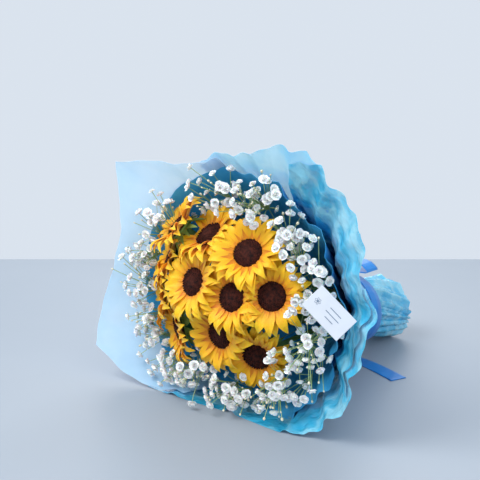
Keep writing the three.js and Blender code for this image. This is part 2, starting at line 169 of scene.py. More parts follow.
def newMaterial(name, settings):
    material = bpy.data.materials.new(name)
    material.use_nodes = True
    shader = material.node_tree.nodes["Principled BSDF"]
    for socket, value in settings.items():
        shader.inputs[socket].default_value = value
    return material, material.node_tree, shader


def addNode(tree, kind, **values):
    node = tree.nodes.new(kind)
    for key, value in values.items():
        if key in node.inputs:
            node.inputs[key].default_value = value
        else:
            setattr(node, key, value)
    return node


def ramp(tree, stops):
    node = tree.nodes.new("ShaderNodeValToRGB")
    while len(node.color_ramp.elements) < len(stops):
        node.color_ramp.elements.new(0.5)
    for element, (place, colour) in zip(node.color_ramp.elements, stops):
        element.position = place
        element.color = (*colour, 1)
    return node


def addBump(tree, shader, height, strength, distance):
    bump = addNode(tree, "ShaderNodeBump", Strength=strength, Distance=distance)
    tree.links.new(height, bump.inputs["Height"])
    tree.links.new(bump.outputs["Normal"], shader.inputs["Normal"])


def petalFinish():
    look = {"Roughness": 0.5, "Subsurface Weight": 0.25, "Subsurface Scale": 0.004, "Sheen Weight": 0.15,
            "Specular IOR Level": 0.35}
    material, tree, shader = newMaterial("sunflowerPetal", look)
    link = tree.links.new
    coords = addNode(tree, "ShaderNodeUVMap", uv_map="petalUV")
    parts = tree.nodes.new("ShaderNodeSeparateXYZ")
    link(coords.outputs[0], parts.inputs[0])
    along = ramp(tree, [(0.0, (0.7, 0.16, 0.0)), (0.14, (0.95, 0.32, 0.0)), (0.36, (1.0, 0.49, 0.002)),
                        (1.0, (1.0, 0.6, 0.008))])
    link(parts.outputs["Y"], along.inputs[0])
    stretch = addNode(tree, "ShaderNodeMapping")
    stretch.inputs["Scale"].default_value = (26, 1.6, 1)
    link(coords.outputs[0], stretch.inputs[0])
    veins = addNode(tree, "ShaderNodeTexNoise", Scale=1.0, Detail=3.0)
    link(stretch.outputs[0], veins.inputs["Vector"])
    place = tree.nodes.new("ShaderNodeTexCoord")
    patches = addNode(tree, "ShaderNodeTexNoise", Scale=28.0, Detail=2.0)
    link(place.outputs["Object"], patches.inputs["Vector"])
    veinTint = addNode(tree, "ShaderNodeMix", data_type="RGBA", blend_type="MULTIPLY")
    veinShade = ramp(tree, [(0.32, (0.93, 0.82, 0.7)), (0.6, (1, 1, 1))])
    link(veins.outputs["Fac"], veinShade.inputs[0])
    veinTint.inputs[0].default_value = 0.7
    link(along.outputs[0], veinTint.inputs[6])
    link(veinShade.outputs[0], veinTint.inputs[7])
    patchShade = ramp(tree, [(0.35, (0.97, 0.88, 0.8)), (0.62, (1, 1, 1))])
    link(patches.outputs["Fac"], patchShade.inputs[0])
    patchTint = addNode(tree, "ShaderNodeMix", data_type="RGBA", blend_type="MULTIPLY")
    patchTint.inputs[0].default_value = 0.8
    link(veinTint.outputs[2], patchTint.inputs[6])
    link(patchShade.outputs[0], patchTint.inputs[7])
    link(patchTint.outputs[2], shader.inputs["Base Color"])
    addBump(tree, shader, veins.outputs["Fac"], 0.5, 0.0006)
    return material


def plainFinish(name, look, dark, light, scale, bumpScale, bumpDepth):
    material, tree, shader = newMaterial(name, look)
    place = tree.nodes.new("ShaderNodeTexCoord")
    blotch = addNode(tree, "ShaderNodeTexNoise", Scale=scale, Detail=4.0)
    tree.links.new(place.outputs["Object"], blotch.inputs["Vector"])
    tint = ramp(tree, [(0.3, dark), (0.7, light)])
    tree.links.new(blotch.outputs["Fac"], tint.inputs[0])
    tree.links.new(tint.outputs[0], shader.inputs["Base Color"])
    grain = addNode(tree, "ShaderNodeTexNoise", Scale=bumpScale, Detail=3.0)
    tree.links.new(place.outputs["Object"], grain.inputs["Vector"])
    addBump(tree, shader, grain.outputs["Fac"], 0.6, bumpDepth)
    return material


# crinkled film: its own blues, with painted highlights along the crinkle facets
def filmFinish(name, look, toneAndHighlight, crinkle, depth):
    material, tree, shader = newMaterial(name, look)
    link = tree.links.new
    place = tree.nodes.new("ShaderNodeTexCoord")
    wander = addNode(tree, "ShaderNodeTexNoise", Scale=crinkle * 0.6, Detail=3.0)
    link(place.outputs["Object"], wander.inputs["Vector"])
    shift = addNode(tree, "ShaderNodeVectorMath", operation="MULTIPLY_ADD")
    shift.inputs[1].default_value = (0.05, 0.05, 0.05)
    link(wander.outputs["Color"], shift.inputs[0])
    link(place.outputs["Object"], shift.inputs[2])
    facets = addNode(tree, "ShaderNodeTexVoronoi", feature="SMOOTH_F1", Scale=crinkle, Smoothness=0.8)
    link(shift.outputs[0], facets.inputs["Vector"])
    fine = addNode(tree, "ShaderNodeTexVoronoi", Scale=crinkle * 2.7)
    link(shift.outputs[0], fine.inputs["Vector"])
    both = addNode(tree, "ShaderNodeMath", operation="MULTIPLY_ADD")
    both.inputs[1].default_value = 0.4
    link(fine.outputs["Distance"], both.inputs[0])
    link(facets.outputs["Distance"], both.inputs[2])
    # the higher this mix, along the crinkle facets, the lighter the colour: painted highlight over the film's
    # own blue
    highlightStreak = addNode(tree, "ShaderNodeMath", operation="MULTIPLY_ADD")
    highlightStreak.inputs[1].default_value = 0.6
    link(wander.outputs["Fac"], highlightStreak.inputs[0])
    link(facets.outputs["Distance"], highlightStreak.inputs[2])
    tint = ramp(tree, list(zip((0.25, 0.5, 0.72, 0.9), toneAndHighlight)))
    link(highlightStreak.outputs[0], tint.inputs[0])
    link(tint.outputs[0], shader.inputs["Base Color"])
    addBump(tree, shader, both.outputs[0], 0.8, depth)
    return material


petalMaterial = petalFinish()
discMaterial = plainFinish("seedDisc", {"Roughness": 0.9, "Specular IOR Level": 0.2},
                           dark=(0.006, 0.002, 0.0025), light=(0.075, 0.016, 0.009),
                           scale=260, bumpScale=900, bumpDepth=0.0008)
stemMaterial = plainFinish("greenStem", {"Roughness": 0.65, "Subsurface Weight": 0.05},
                           dark=(0.1, 0.2, 0.03), light=(0.24, 0.36, 0.08),
                           scale=60, bumpScale=400, bumpDepth=0.0003)
twigMaterial = plainFinish("greenTwig", {"Roughness": 0.6}, dark=(0.2, 0.33, 0.1), light=(0.4, 0.52, 0.25),
                           scale=80, bumpScale=600, bumpDepth=0.0002)
bloomLook = {"Roughness": 0.75, "Subsurface Weight": 0.2, "Subsurface Scale": 0.002}
bloomMaterial = plainFinish("whiteBloom", bloomLook, dark=(0.95, 0.95, 0.93), light=(1.0, 1.0, 0.99),
                            scale=240, bumpScale=900, bumpDepth=0.0002)
budMaterial = plainFinish("creamBud", {"Roughness": 0.7}, dark=(0.62, 0.55, 0.3), light=(0.9, 0.86, 0.66),
                          scale=300, bumpScale=900, bumpDepth=0.0002)
matteLook = {"Roughness": 0.85, "Sheen Weight": 0.2, "Subsurface Weight": 0.7,
             "Subsurface Radius": (1, 1, 1), "Subsurface Scale": 0.004}
matteMaterial = plainFinish("matteBlueSheet", matteLook, dark=(0.26, 0.52, 0.87), light=(0.35, 0.6, 0.91),
                            scale=18, bumpScale=1400, bumpDepth=0.0003)
linerMaterial = plainFinish("deepBlueLiner", {"Roughness": 0.6},
                            dark=(0.0, 0.3, 0.7), light=(0.09, 0.52, 0.88),
                            scale=20, bumpScale=900, bumpDepth=0.0002)
neckMaterial = plainFinish("neckBlueSheet", {"Roughness": 0.6, "Sheen Weight": 0.2},
                           dark=(0.09, 0.42, 0.76), light=(0.14, 0.5, 0.84),
                           scale=16, bumpScale=1200, bumpDepth=0.0002)
frostedLook = {"Roughness": 0.4, "Coat Weight": 0.15, "Alpha": 0.93, "Subsurface Weight": 0.7,
               "Subsurface Radius": (1, 1, 1), "Subsurface Scale": 0.004}
# the frosted sheet's own blues, rising to lighter painted highlights along the crinkles
frostedToneAndHighlight = ((0.04, 0.36, 0.84), (0.07, 0.44, 0.9), (0.11, 0.5, 0.93), (0.22, 0.62, 0.96))
frostedMaterial = filmFinish("frostedSheet", frostedLook, frostedToneAndHighlight, crinkle=22, depth=0.0014)
pearlLook = {"Roughness": 0.24, "Coat Weight": 0.5, "Coat Roughness": 0.15, "Alpha": 0.95,
             "Subsurface Weight": 0.4, "Subsurface Radius": (1, 1, 1), "Subsurface Scale": 0.004}
# the pearl film's own blues, rising to lighter painted highlights along the crinkles
pearlToneAndHighlight = ((0.015, 0.41, 0.8), (0.03, 0.46, 0.83), (0.06, 0.52, 0.87), (0.22, 0.68, 0.93))
pearlMaterial = filmFinish("pearlFilm", pearlLook, pearlToneAndHighlight, crinkle=42, depth=0.0026)
ribbonMaterial = plainFinish("satinRibbon", {"Roughness": 0.36, "Sheen Weight": 0.08, "Anisotropic": 0.5},
                             dark=(0.0, 0.15, 0.5), light=(0.0, 0.21, 0.6),
                             scale=30, bumpScale=1500, bumpDepth=0.0001)
tieMaterial = plainFinish("rubberTie", {"Roughness": 0.7}, dark=(0.5, 0.4, 0.22), light=(0.6, 0.5, 0.3),
                          scale=80, bumpScale=500, bumpDepth=0.0002)
cardMaterial = plainFinish("whiteCard", {"Roughness": 0.55},
                           dark=(0.6, 0.635, 0.7), light=(0.64, 0.675, 0.74),
                           scale=60, bumpScale=900, bumpDepth=0.0001)
inkMaterial = plainFinish("greyBlueInk", {"Roughness": 0.5}, dark=(0.06, 0.12, 0.2), light=(0.08, 0.16, 0.26),
                          scale=60, bumpScale=900, bumpDepth=0.0001)
print("materials ready")


# sunflowers: each head's middle and facing come from its seed disc

headNames = [f"flower_{i:02d}" for i in range(1, 12)]


def headPlace(name):
    verts = nodeVerts(name + "_seed_disc")
    middle = verts.mean(0)
    facing = Vector(np.linalg.svd(verts - middle, full_matrices=False)[2][2])
    low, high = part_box(name + "_stem")
    if facing.dot(Vector(middle) - (low + high) / 2) < 0:
        facing = -facing
    depth = (verts @ np.array(facing)).min() - float(Vector(middle).dot(facing))
    base = Vector(middle) + facing * depth
    radius = float(np.linalg.norm(np.cross(verts - np.array(base), np.array(facing)), axis=1).max())
    return base, facing, radius


def headMatrix(base, facing, spin):
    turn = facing.to_track_quat("Z", "Y").to_matrix().to_4x4()
    return Matrix.Translation(base) @ turn @ Matrix.Rotation(spin, 4, "Z")


# a grid's rows are told apart by their height along Y while it is still flat
rowGap = 1e-3
flatGap = 1e-6


def gridRows(piece):
    return sorted({round(v.co.y, 4) for v in piece.data.vertices})


petalSettings = {
    "length": 0.0345,
    "width": 0.0132,
    "rows": [(0.0, 0.45, 0.0), (0.12, 0.66, 0.002), (0.26, 0.9, 0.009), (0.42, 1.0, 0.02), (0.58, 0.99, 0.03),
             (0.74, 0.84, 0.03), (0.87, 0.56, 0.015), (0.95, 0.3, -0.01), (1.0, 0.06, -0.03)],
    "liftScale": 0.12,
    "kinds": 6,
    "lengthVaries": (0.93, 1.07),
    "widthVaries": (0.9, 1.12),
    "curlVaries": (-0.35, 0.5),
    "twistVaries": (-0.25, 0.25),
    "curlDepth": 0.012,
    "cup": 0.0016,
    "ridge": 0.0007,
    "ridgeTurn": 5.0,
    "thickness": 0.00035,
    "seat": 0.8,
    "turnVaries": 0.07,
    "sizeVaries": (0.94, 1.06),
    "rings": [{"count": 17, "shift": 0, "tilt": (0.0, 0.14), "size": 1, "lift": -0.0006},
              {"count": 16, "shift": 0.5, "tilt": (0.12, 0.28), "size": 0.9, "lift": 0.0009}],
    "shorter": (1.0, 0.82, 0.66, 0.5, 0.36),
    "testedAt": (0.55, 0.8, 1.0),
    "discMargin": 1.04,
    "discHeight": 0.03,
}


def makePetal(index):
    s = petalSettings
    deselectAll()
    rows = s["rows"]
    bpy.ops.mesh.primitive_grid_add(x_subdivisions=4, y_subdivisions=len(rows) - 1, size=1)
    petal = bpy.context.object
    petal.name = f"petalPattern{index}"
    petal.data.uv_layers[0].name = "petalUV"
    length = s["length"] * random.uniform(*s["lengthVaries"])
    width = s["width"] * random.uniform(*s["widthVaries"])
    curl = random.uniform(*s["curlVaries"])
    twist = random.uniform(*s["twistVaries"])
    editPiece(petal)
    for y, (share, wide, lift) in zip(gridRows(petal), rows):
        pickVerts(lambda co: abs(co.y - y) < rowGap and abs(co.z) < flatGap)
        middle = Vector((0, y, 0))
        bpy.ops.transform.resize(value=(width * wide, 1, 1), center_override=middle)
        bpy.ops.transform.rotate(value=twist * share, orient_axis="Y", center_override=middle)
        sag = curl * s["curlDepth"] * share * share + lift * s["liftScale"]
        bpy.ops.transform.translate(value=(0, share * length - y, sag))
    leaveEdit()
    for vert in petal.data.vertices:
        across = vert.co.x / (width * 0.5)
        vert.co.z += s["cup"] * across * across - s["ridge"] * math.cos(across * s["ridgeTurn"])
    return petal


# a petal is shortened where it would lie over a neighbour's disc
def overDisc(place, length, name, heads):
    s = petalSettings
    for share in s["testedAt"]:
        spot = place @ Vector((0, length * share, 0))
        for other, (base, facing, radius) in heads.items():
            away = spot - base
            height = away.dot(facing)
            out = (away - facing * height).length
            if other != name and abs(height) < s["discHeight"] and out < radius * s["discMargin"]:
                return True
    return False


def placePetal(pattern, place, name, heads):
    s = petalSettings
    shorter = next((x for x in s["shorter"] if not overDisc(place, s["length"] * x, name, heads)), None)
    if shorter is None:
        return None
    return copyPiece(pattern, "petal", place @ Matrix.Diagonal((0.5 + 0.5 * shorter, shorter, shorter, 1)))


def buildFlowers():
    s = petalSettings
    petals = [makePetal(i) for i in range(s["kinds"])]
    heads = {name: headPlace(name) for name in headNames}
    for name, (base, facing, radius) in heads.items():
        spin = random.uniform(0, 1)
        made = []
        for ring in s["rings"]:
            for i in range(ring["count"]):
                angle = 2 * math.pi * (i + ring["shift"]) / ring["count"]
                angle += random.uniform(-s["turnVaries"], s["turnVaries"])
                tilt = random.uniform(*ring["tilt"])
                size = random.uniform(*s["sizeVaries"]) * ring["size"]
                place = headMatrix(base, facing, spin + angle)
                place = place @ Matrix.Translation((0, radius * s["seat"], ring["lift"]))
                place = place @ Matrix.Rotation(tilt, 4, "X") @ Matrix.Diagonal((size, size, size, 1))
                petal = placePetal(random.choice(petals), place, name, heads)
                if petal is not None:
                    made.append(petal)
        piece = joinPieces(made, name + "_petalRows")
        makeActive(piece)
        modifier = piece.modifiers.new("thickness", "SOLIDIFY")
        modifier.thickness = s["thickness"]
        modifier.offset = 0
        applyModifiers(piece)
        smoothShade(piece, 70)
        finishPiece(piece, petalMaterial, "petals", name + "_petals")
    for petal in petals:
        discard(petal)


discSettings = {
    "florets": 150,
    "domeHeight": 0.0055,
    "backShare": 0.06,
    "floretHeight": 0.0038,
    "floretSides": 5,
    "floretBase": 0.00125,
    "floretTip": 0.00045,
    "spiralTurn": 2.39996,
    "spread": 0.97,
    "sunk": 0.9,
    "dimple": 0.0016,
    "dimpleReach": 0.3,
    "lean": 0.7,
    "sizes": (0.7, 0.5),
    "sizeVaries": (0.85, 1.15),
    "spin": 3,
    "level": 0.0001,
}


def makeDome(radius):
    s = discSettings
    deselectAll()
    bpy.ops.mesh.primitive_uv_sphere_add(segments=32, ring_count=16, radius=radius)
    dome = bpy.context.object
    editPiece(dome)
    pickVerts(lambda co: co.z < -s["level"])
    bpy.ops.transform.resize(value=(1, 1, s["backShare"]), center_override=(0, 0, 0))
    pickVerts(lambda co: co.z > s["level"])
    bpy.ops.transform.resize(value=(1, 1, s["domeHeight"] / radius), center_override=(0, 0, 0))
    leaveEdit()
    return dome


def buildDiscs():
    s = discSettings
    deselectAll()
    bpy.ops.mesh.primitive_cone_add(vertices=s["floretSides"], radius1=s["floretBase"],
                                    radius2=s["floretTip"], depth=s["floretHeight"],
                                    end_fill_type="TRIFAN")
    floret = bpy.context.object
    for name in headNames:
        base, facing, radius = headPlace(name)
        made = [makeDome(radius)]
        for i in range(s["florets"]):
            share = math.sqrt((i + 0.5) / s["florets"])
            angle = i * s["spiralTurn"]
            out = share * radius * s["spread"]
            height = s["domeHeight"] * math.sqrt(max(0, 1 - share * share)) * s["sunk"]
            height -= s["dimple"] * math.exp(-((share / s["dimpleReach"]) ** 2))
            lean = Matrix.Rotation(s["lean"] * share, 4, Vector((-math.sin(angle), math.cos(angle), 0)))
            size = (s["sizes"][0] + s["sizes"][1] * share) * random.uniform(*s["sizeVaries"])
            place = Matrix.Translation((out * math.cos(angle), out * math.sin(angle), height)) @ lean
            made.append(copyPiece(floret, "floret", place @ Matrix.Scale(size, 4)))
        piece = joinPieces(made, name + "_floretDisc")
        piece.data.transform(headMatrix(base, facing, random.uniform(0, s["spin"])))
        smoothShade(piece, 40)
        finishPiece(piece, discMaterial, "seed_discs", name + "_seed_disc")
    discard(floret)


bractSettings = {
    "count": 18,
    "length": 0.022,
    "width": 0.0075,
    "rows": [(0, 0.7), (0.2, 1.0), (0.45, 0.85), (0.7, 0.5), (0.88, 0.22), (1.0, 0.03)],
    "sag": 0.004,
    "turnVaries": 0.1,
    "seat": 0.8,
    "seatStep": 0.12,
    "drop": 0.0035,
    "dropStep": 0.002,
    "lean": (-0.55, -0.15),
    "sizeVaries": (0.85, 1.15),
}


def makeBract():
    s = bractSettings
    deselectAll()
    bpy.ops.mesh.primitive_grid_add(x_subdivisions=2, y_subdivisions=len(s["rows"]) - 1, size=1)
    bract = bpy.context.object
    editPiece(bract)
    for y, (share, wide) in zip(gridRows(bract), s["rows"]):
        pickVerts(lambda co: abs(co.y - y) < rowGap and abs(co.z) < flatGap)
        bpy.ops.transform.resize(value=(s["width"] * wide, 1, 1), center_override=(0, y, 0))
        bpy.ops.transform.translate(value=(0, share * s["length"] - y, -s["sag"] * share * share))
    leaveEdit()
    return bract


def buildStems():
    s = bractSettings
    bract = makeBract()
    for name in headNames:
        base, facing, radius = headPlace(name)
        stem = cadCopy(name + "_stem", name + "_stalk")
        modifier = stem.modifiers.new("round", "SUBSURF")
        modifier.levels = modifier.render_levels = 1
        applyModifiers(stem)
        made = [stem]
        for i in range(s["count"]):
            row = i % 2
            angle = 2 * math.pi * i / s["count"] + random.uniform(-s["turnVaries"], s["turnVaries"])
            seat = (0, radius * (s["seat"] + s["seatStep"] * row), -s["drop"] - s["dropStep"] * row)
            place = headMatrix(base, facing, angle) @ Matrix.Translation(seat)
            place = place @ Matrix.Rotation(random.uniform(*s["lean"]), 4, "X")
            place = place @ Matrix.Scale(random.uniform(*s["sizeVaries"]), 4)
            made.append(copyPiece(bract, "bract", place))
        piece = joinPieces(made, name + "_stemAndBracts")
        smoothShade(piece, 50)
        finishPiece(piece, stemMaterial, "stems", name + "_stem")
    discard(bract)


buildFlowers()
print("petals ready")
buildDiscs()
buildStems()
print("flowers ready")


# baby's breath: twigs fork out from the front of each spray's stem, with a bloom or a bud on every end

spraySettings = {
    "blooms": 40,
    "buds": 26,
    "forks": 9,
    "tries": 1500,
    "frontDepth": 0.06,
    "forkBack": 0.075,
    "stemRise": 0.004,
    "stemEnd": 0.01,
    "sideways": 0.054,
    "outwards": 0.02,
    "outwardLimit": 2,
    "outwardShift": 0.012,
    "depth": 0.013,
    "depthLimit": 1.8,
    "forwardShift": 0.004,
    "bloomReach": 0.0055,
    "budReach": 0.0025,
    "lowest": 0.009,
    "nearest": 0.03,
    "clearOfFlowers": 0.003,
    "clearOfSheets": 0.0055,
    "sheetShare": 0.6,
    "pastSpot": 0.006,
    "behind": 0.09,
    "overFlowers": 0.06,
    "apart": 0.9,
    "forkAt": (0.35, 0.5),
    "rootSteps": (0.0, 0.012, 0.024),
    "forkBow": 0.004,
    "elbowAt": 0.55,
    "elbowBow": 0.005,
    "bloomVaries": (0.8, 1.15),
    "budVaries": (0.7, 1.3),
    "budRadius": 0.0015,
    "budLength": 1.35,
    "twigRadius": 0.00042,
    "stemCut": 0.05,
}
bloomSettings = {
    "kinds": 3,
    "size": 0.0058,
    "rings": [(6, 0.1, 1.0), (5, 0.7, 0.9), (4, 1.15, 0.75)],
    "tipWidth": 0.72,
    "tipLift": 0.22,
    "notch": (0, 0.06, 0.08),
    "middleWidth": 1.15,
    "rootWidth": 0.3,
    "ringTurn": 3,
    "turnVaries": 0.3,
    "leanVaries": 0.15,
    "sizeVaries": (0.9, 1.1),
    "broad": 1.15,
}
sprayNames = [f"babys_breath_{i}" for i in range(1, 10)]
sheetNames = ["liner_sheet", "left_matte_sheet", "right_pearl_film", "top_frosted_sheet", "lower_pearl_film",
              "message_card"]


def nodeTree(names):
    verts = []
    faces = []
    for name in names:
        data = cadNodes[name].data
        start = len(verts)
        verts += [v.co.copy() for v in data.vertices]
        faces += [[start + i for i in p.vertices] for p in data.polygons]
    return BVHTree.FromPolygons(verts, faces)


def makeBloom(index):
    s = bloomSettings
    deselectAll()
    bpy.ops.mesh.primitive_grid_add(x_subdivisions=2, y_subdivisions=2, size=1)
    petal = bpy.context.object
    editPiece(petal)
    pickVerts(lambda co: co.y > 0.4)
    bpy.ops.transform.resize(value=(s["tipWidth"], 1, 1), center_override=(0, 0.5, 0))
    bpy.ops.transform.translate(value=(0, 0, s["tipLift"]))
    pickVerts(lambda co: co.y > 0.4 and abs(co.x) < 0.1)
    bpy.ops.transform.translate(value=s["notch"])
    pickVerts(lambda co: abs(co.y) < 0.1)
    bpy.ops.transform.resize(value=(s["middleWidth"], 1, 1), center_override=(0, 0, 0))
    pickVerts(lambda co: co.y < -0.4)
    bpy.ops.transform.resize(value=(s["rootWidth"], 1, 1), center_override=(0, -0.5, 0))
    pickVerts(lambda co: True)
    bpy.ops.transform.translate(value=(0, 0.5, 0))
    leaveEdit()
    made = []
    for count, tilt, scale in s["rings"]:
        for i in range(count):
            angle = 2 * math.pi * i / count + tilt * s["ringTurn"]
            angle += random.uniform(-s["turnVaries"], s["turnVaries"])
            tipped = tilt + random.uniform(-s["leanVaries"], s["leanVaries"])
            grow = scale * s["size"] * random.uniform(*s["sizeVaries"])
            place = Matrix.Rotation(angle, 4, "Z") @ Matrix.Rotation(tipped, 4, "X")
            place = place @ Matrix.Diagonal((grow * s["broad"], grow, grow, 1))
            made.append(copyPiece(petal, "ruffle", place))
    discard(petal)
    return joinPieces(made, f"bloomPattern{index}")


def makeBud():
    s = spraySettings
    deselectAll()
    bpy.ops.mesh.primitive_ico_sphere_add(subdivisions=1, radius=s["budRadius"])
    bud = bpy.context.object
    bud.data.transform(Matrix.Diagonal((1, 1, s["budLength"], 1)))
    return bud


def frontOf(name):
    verts = nodeVerts(name)
    near = verts[verts[:, 1] < verts[:, 1].min() + spraySettings["frontDepth"]]
    return Vector(near.mean(0))


def gaussWithin(limit):
    return max(-limit, min(limit, random.gauss(0, 1)))


# few blooms stand in front of a flower, and none goes through one or through a sheet
def isClear(spot, size, fork, flowerTree, sheetTree):
    s = spraySettings
    if spot.z < s["lowest"]:
        return False
    gap = flowerTree.find_nearest(spot, s["nearest"])[3]
    if gap is not None and gap < s["clearOfFlowers"] + size:
        return False
    gap = sheetTree.find_nearest(spot, s["nearest"])[3]
    if gap is not None and gap < s["clearOfSheets"] + size * s["sheetShare"]:
        return False
    way = spot - fork
    if sheetTree.ray_cast(fork, way.normalized(), way.length + s["pastSpot"])[0] is not None:
        return False
    inFront = flowerTree.ray_cast(spot, Vector((0, 1, 0)), s["behind"])[0] is not None
    return not inFront or random.random() <= s["overFlowers"]


def findEnds(tip, fork, radial, flowerTree, sheetTree):
    s = spraySettings
    sideways = Vector((-radial.z, 0, radial.x))
    ends = []
    for _ in range(s["tries"]):
        if len(ends) == s["blooms"] + s["buds"]:
            break
        out = s["outwardShift"] + s["outwards"] * gaussWithin(s["outwardLimit"])
        deep = s["depth"] * gaussWithin(s["depthLimit"]) - s["forwardShift"]
        across = sideways * s["sideways"] * random.uniform(-1, 1)
        spot = tip + radial * out + across + Vector((0, deep, 0))
        size = s["bloomReach"] if len(ends) < s["blooms"] else s["budReach"]
        if not isClear(spot, size, fork, flowerTree, sheetTree):
            continue
        if any((spot - other).length < s["apart"] * (size + otherSize) for other, otherSize in ends):
            continue
        ends.append((spot, size))
    return [spot for spot, size in ends]


def makeTwigs(name, lines):
    curve = bpy.data.curves.new(name, "CURVE")
    curve.dimensions = "3D"
    curve.bevel_depth = spraySettings["twigRadius"]
    curve.bevel_resolution = 0
    curve.resolution_u = 3
    for line in lines:
        spline = curve.splines.new("NURBS")
        spline.points.add(len(line) - 1)
        for point, place in zip(spline.points, line):
            point.co = (*place, 1)
        spline.use_endpoint_u = True
        spline.order_u = 3
    twigs = bpy.data.objects.new(name, curve)
    bpy.context.scene.collection.objects.link(twigs)
    makeActive(twigs)
    bpy.ops.object.convert(target="MESH")
    return bpy.context.object


def makeStalk(name, limit):
    stalk = cadCopy(name, name + "_stalk")
    editPiece(stalk)
    pickVerts(lambda co: co.y < limit)
    bpy.ops.mesh.delete(type="VERT")
    leaveEdit()
    return stalk


def finishSpray(parts, name, part, material, angle):
    piece = joinPieces(parts, f"{name}_{part}")
    smoothShade(piece, angle)
    finishPiece(piece, material, "babys_breath", name)


def buildSpray(name, neck, mouth, trees, blooms, bud):
    s = spraySettings
    tip = frontOf(name)
    outwards = (tip - neck).normalized()
    radial = Vector((tip.x - mouth.x, 0, tip.z - mouth.z)).normalized()
    fork = tip - outwards * s["forkBack"]
    stemBend = fork + (neck - fork) * 0.5 + Vector((0, 0, s["stemRise"]))
    lines = [[stemBend, fork + outwards * s["stemEnd"]]]
    ends = findEnds(tip, fork, radial, *trees)
    forks = []
    for _ in range(s["forks"]):
        middle = random.choice(ends).lerp(fork, random.uniform(*s["forkAt"]))
        root = fork + outwards * random.choice(s["rootSteps"])
        lines.append([root, root.lerp(middle, 0.5) + outwards * s["forkBow"], middle])
        forks.append(middle)
    bloomParts = []
    budParts = []
    for i, spot in enumerate(ends):
        root = min(forks, key=lambda place: (place - spot).length)
        elbow = root.lerp(spot, s["elbowAt"]) + outwards * s["elbowBow"]
        lines.append([root, elbow, spot])
        aim = (spot - elbow).normalized().to_track_quat("Z", "Y").to_matrix().to_4x4()
        place = Matrix.Translation(spot) @ aim
        if i < s["blooms"]:
            place = place @ Matrix.Scale(random.uniform(*s["bloomVaries"]), 4)
            bloomParts.append(copyPiece(random.choice(blooms), "bloom", place))
        else:
            place = place @ Matrix.Scale(random.uniform(*s["budVaries"]), 4)
            budParts.append(copyPiece(bud, "bud", place))
    greenParts = [makeTwigs(name + "_twigs", lines), makeStalk(name, tip.y + s["stemCut"])]
    finishSpray(greenParts, name, "stems", twigMaterial, 60)
    finishSpray(bloomParts, name, "blooms", bloomMaterial, 80)
    finishSpray(budParts, name, "buds", budMaterial, 80)


def buildSprays():
    flowerTree = nodeTree([n + "_petals" for n in headNames] + [n + "_seed_disc" for n in headNames])
    sheetTree = nodeTree(sheetNames)
    blooms = [makeBloom(i) for i in range(bloomSettings["kinds"])]
    bud = makeBud()
    neck = (Vector(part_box("stem_tie")[0]) + Vector(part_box("stem_tie")[1])) / 2
    low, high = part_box("liner_sheet")
    mouth = Vector(((low.x + high.x) / 2, low.y, (low.z + high.z) / 2))
    for name in sprayNames:
        buildSpray(name, neck, mouth, (flowerTree, sheetTree), blooms, bud)
    for pattern in blooms + [bud]:
        discard(pattern)


buildSprays()
print("baby's breath ready")


# wrapping sheets: the inner face of each CAD sheet is kept, refined and crumpled

def axisEnds():
    low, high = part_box("stem_tie")
    neck = (low + high) / 2
    low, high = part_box("liner_sheet")
    return neck, Vector(((low.x + high.x) / 2, low.y, (low.z + high.z) / 2))


neckMiddle, mouthMiddle = axisEnds()

# each wave is turns round the wrap, start and height
wrapSettings = {
    "edgeWidth": 0.0016,
    "cornerTurn": 38,
    "rimDepth": 0.006,
    "floorGap": 0.0006,
    "thickness": 0.0003,
    "softScale": 0.07,
    "creaseScale": 0.034,
    "fineScale": 0.016,
    "fineShare": 0.6,
    "looseRise": 1.3,
    "looseBehind": 8,
    "looseLeast": 0.1,
    "waves": [(11, 1.3, 1), (23, 0.4, 0.6), (41, 0, 0.4)],
    "pleatLimit": 1.4,
    "pleatShare": 0.6,
    "behindRise": 6,
    "behindDepth": 0.0025,
    "flareFrom": 0.72,
    "flareOver": 0.28,
}


def axisAt(y):
    return neckMiddle.lerp(mouthMiddle, (y - neckMiddle.y) / (mouthMiddle.y - neckMiddle.y))


def keepInnerFace(piece):
    editPiece(piece)
    bpy.ops.mesh.select_mode(type="FACE")
    mesh = bmesh.from_edit_mesh(piece.data)
    for face in mesh.faces:
        middle = face.calc_center_median()
        away = middle - axisAt(middle.y)
        shortest = min(edge.calc_length() for edge in face.edges)
        face.select_set(face.normal.dot(away) > 0 or shortest < wrapSettings["edgeWidth"])
    bmesh.update_edit_mesh(piece.data)
    bpy.ops.mesh.delete(type="FACE")
    leaveEdit()


def sharpCorners(piece):
    mesh = bmesh.new()
    mesh.from_mesh(piece.data)
    layer = mesh.verts.layers.float.get("crease_vert") or mesh.verts.layers.float.new("crease_vert")
    for vert in mesh.verts:
        rim = [e for e in vert.link_edges if e.is_boundary]
        if len(rim) == 2:
            a = rim[0].other_vert(vert).co - vert.co
            b = rim[1].other_vert(vert).co - vert.co
            if math.degrees(a.angle(b)) < 180 - wrapSettings["cornerTurn"]:
                vert[layer] = 1
    mesh.to_mesh(piece.data)
    mesh.free()


def reachOut(piece, outwards, forwards):
    rimY = mouthMiddle.y + wrapSettings["rimDepth"]
    editPiece(piece)
    bpy.ops.mesh.select_mode(type="EDGE")
    mesh = bmesh.from_edit_mesh(piece.data)
    for edge in mesh.edges:
        edge.select_set(edge.is_boundary and all(vert.co.y < rimY for vert in edge.verts))
    bmesh.update_edit_mesh(piece.data)
    bpy.ops.mesh.extrude_edges_move()
    bpy.ops.transform.resize(value=(outwards, 1, outwards), center_override=mouthMiddle)
    bpy.ops.transform.translate(value=(0, -forwards, 0))
    leaveEdit()


